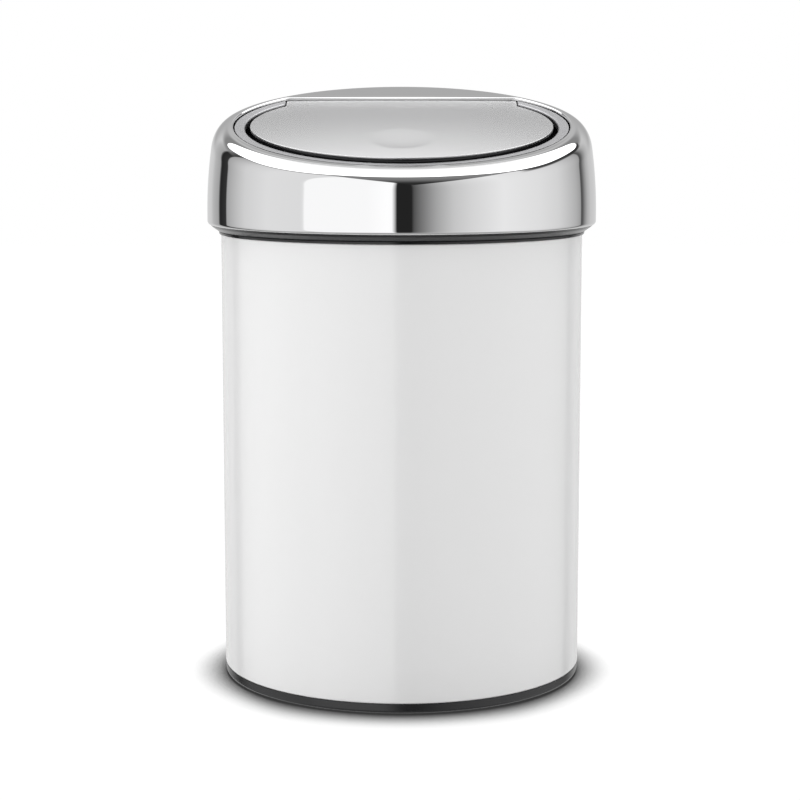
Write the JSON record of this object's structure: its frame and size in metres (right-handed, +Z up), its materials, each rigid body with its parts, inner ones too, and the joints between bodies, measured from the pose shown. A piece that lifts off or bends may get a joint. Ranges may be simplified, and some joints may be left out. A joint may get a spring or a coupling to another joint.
{
  "type": "push top countertop bin",
  "caption": "Round countertop waste bin: white steel tube on a black foot, lift-out bucket, and a domed metal lid whose sloping push-to-open flap is held by a push-push latch.",
  "frame": {"origin": "on the bin's axis, at the bottom of the non-slip ring, which is the worktop", "axes": "+Z up along the tube, -Y to the front where the lid slopes down and the flap is pushed, +X to the right seen from the front"},
  "size_m": [0.1848, 0.185, 0.282],
  "materials": {
    "white_enamel": "gloss",
    "galvanised_plate": "satin",
    "black_foot": "satin",
    "rubber": "matt",
    "bucket_plastic": "satin",
    "handle_wire": "polished",
    "polished_lid": "polished",
    "satin_surround": "satin",
    "black_band": "satin",
    "plain_steel": "bright",
    "spring_steel": "satin",
    "pale_acetal": "satin",
    "satin_flap": "satin"
  },
  "bodies": {
    "body": {"body_shell": "white_enamel", "bottom_plate": "galvanised_plate", "base_foot": "black_foot", "grip_ring": "rubber"},
    "bucket": {"inner_bucket": "bucket_plastic"},
    "handle": {"bucket_handle": "handle_wire"},
    "lid": {"lid_cover": "polished_lid", "flap_surround": "satin_surround", "lid_frame": "black_band", "hinge_pin": "plain_steel", "pin_clips": "plain_steel", "hinge_spring": "spring_steel", "latch_housing": "black_band", "latch_screws": "plain_steel", "latch_spring": "spring_steel", "cam_follower": "spring_steel", "stop_buffers": "rubber"},
    "flap": {"flap_cover": "satin_flap", "flap_liner": "black_band", "striker": "pale_acetal", "striker_screw": "plain_steel"},
    "slider": {"latch_slider": "pale_acetal", "latch_jaws": "black_band"}
  },
  "joints": [
    {"name": "lid_lift", "type": "slide", "parent": "body", "child": "lid", "axis": [0, 0, 1], "range_m": [0, 0.36]},
    {"name": "bucket_lift", "type": "slide", "parent": "body", "child": "bucket", "axis": [0, 0, 1], "range_m": [0, 0.2345]},
    {"name": "handle_swing", "type": "hinge", "parent": "bucket", "child": "handle", "pos_m": [0, 0, 0.2078], "axis": [-1, 0, 0], "range_deg": [0, 90.1]},
    {"name": "flap_hinge", "type": "hinge", "parent": "lid", "child": "flap", "pos_m": [0, 0.0505, 0.26831], "axis": [-1, 0, 0], "range_deg": [-1, 78], "deforming": ["hinge_spring", "latch_jaws"]},
    {"name": "latch_slide", "type": "slide", "parent": "lid", "child": "slider", "axis": [0, -0.2224, 0.975], "range_m": [-0.0001, 0.0041], "deforming": ["latch_spring", "cam_follower"]}
  ],
  "couplings": [
    {"joint": "bucket_lift", "follows": "lid_lift", "ratio": 0.65},
    {"joint": "handle_swing", "follows": "lid_lift", "rad_per_m": 4.3633},
    {"joint": "latch_slide", "follows": "flap_hinge", "m_per_rad": 0.0029382}
  ]
}
